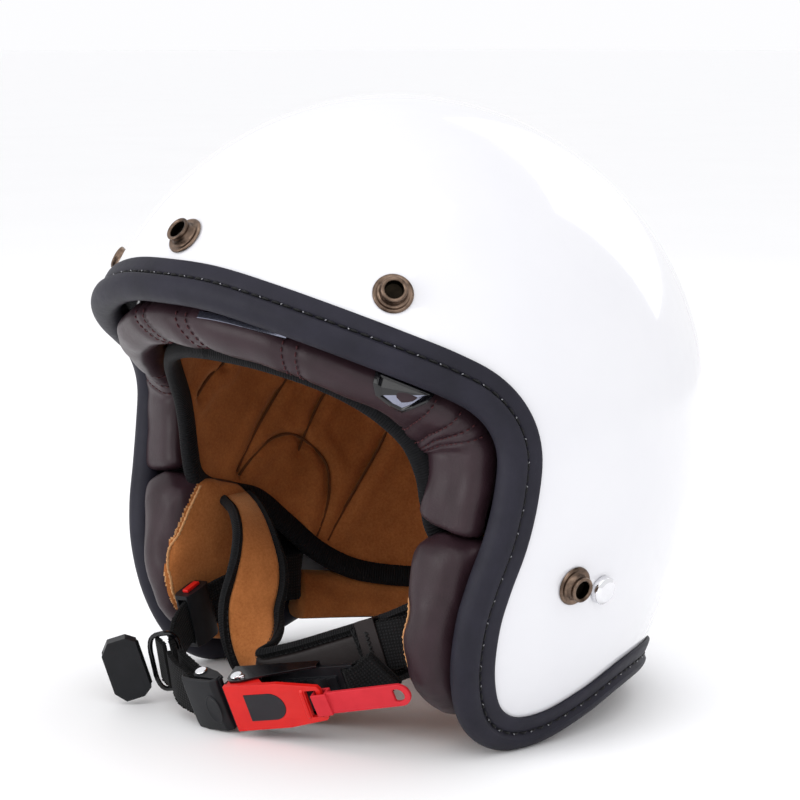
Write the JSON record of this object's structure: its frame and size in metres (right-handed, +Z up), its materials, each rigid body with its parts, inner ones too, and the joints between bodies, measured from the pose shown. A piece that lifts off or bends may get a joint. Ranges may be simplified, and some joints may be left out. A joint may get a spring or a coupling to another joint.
{
  "type": "open face motorcycle helmet",
  "caption": "Open face motorcycle helmet: gloss shell with press studs, sewn edge trim, leather and suede lining, and a padded chin strap with a ratchet buckle.",
  "frame": {"origin": "middle of the bounding box on the table plane the helmet stands on", "axes": "the face looks towards -Y, +X is the wearer's left and +Z is up"},
  "size_m": [0.252, 0.2734, 0.2598],
  "materials": {
    "shell_paint": "gloss white gelcoat with clear varnish over fibreglass",
    "trim_leatherette": "matte charcoal leatherette, sewn",
    "impact_foam": "moulded expanded polystyrene bead foam",
    "gloss_black": "gloss",
    "brown_leather": "satin full-grain look",
    "suede": "napped caramel suede cloth",
    "ribbed_binding": "ribbed woven tape",
    "black_plastic": "satin moulded",
    "antique_brass": "antiqued, polished rims",
    "steel": "zinc plated",
    "chrome": "bright",
    "webbing": "woven polyester",
    "red_plastic": "semi-gloss",
    "red_rubber": "satin"
  },
  "bodies": {
    "helmet": {"outer_shell": "shell_paint", "edge_trim": "trim_leatherette", "impact_liner": "impact_foam", "brow_frame": "gloss_black", "face_roll": "brown_leather", "crown_liner": "suede", "crown_binding": "ribbed_binding", "neck_roll": "suede", "cheek_pad_left": "brown_leather", "cheek_pad_right": "brown_leather", "cheek_plate_left": "black_plastic", "cheek_plate_right": "black_plastic", "snap_studs": "antique_brass", "snap_washers": "steel", "strap_rivets": "chrome", "anchor_plates": "steel", "left_webbing": "webbing", "right_webbing": "webbing", "chin_sleeve": "brown_leather", "sleeve_binding": "ribbed_binding", "sleeve_keeper": "brown_leather", "buckle_housing": "gloss_black", "lever_pin": "chrome", "lever_spring": "steel"},
    "lever": {"lever": "red_plastic", "lever_inlay": "black_plastic", "lever_pawl": "steel"},
    "pull_tab": {"pull_tab": "red_rubber"},
    "tongue": {"ratchet_tongue": "black_plastic", "tongue_webbing": "webbing"},
    "link": {"buckle_link": "gloss_black", "link_pin": "chrome", "link_webbing": "webbing"},
    "adjuster": {"adjuster": "black_plastic", "adjuster_lock": "red_plastic"},
    "keeper_ring": {"keeper_ring": "black_plastic"},
    "free_end": {"free_end": "webbing", "end_clip": "gloss_black", "end_clip_mark": "red_plastic"}
  },
  "joints": [
    {"name": "lever_hinge", "type": "hinge", "parent": "helmet", "child": "lever", "pos_m": [0.01072, -0.10105, 0.01515], "axis": [0.0133, 0.3787, -0.9254], "range_deg": [0, 32], "stiffness_Nm_per_rad": 0.05, "springref_deg": -8.59},
    {"name": "pull_tab_hinge", "type": "hinge", "parent": "lever", "child": "pull_tab", "pos_m": [0.04682, -0.09048, 0.02], "axis": [-0.0133, -0.3787, 0.9254], "range_deg": [-60, 6]},
    {"name": "tongue_slide", "type": "slide", "parent": "helmet", "child": "tongue", "axis": [0.9031, 0.3927, 0.1736], "range_m": [-0.006, 0]},
    {"name": "link_hinge", "type": "hinge", "parent": "helmet", "child": "link", "pos_m": [0.01072, -0.10105, 0.01515], "axis": [-0.0133, -0.3787, 0.9254], "range_deg": [-5, 1.5]},
    {"name": "adjuster_slide", "type": "slide", "parent": "helmet", "child": "adjuster", "axis": [0.2688, -0.9284, -0.2565], "range_m": [-0.004, 0.0025]},
    {"name": "keeper_slide", "type": "slide", "parent": "helmet", "child": "keeper_ring", "axis": [0.7255, -0.5975, -0.3414], "range_m": [-0.003, 0.0015]},
    {"name": "free_end_bend", "type": "hinge", "parent": "helmet", "child": "free_end", "pos_m": [-0.0556, -0.102, 0.019], "axis": [-0.0867, -0.3125, 0.946], "range_deg": [-8, 8]}
  ]
}
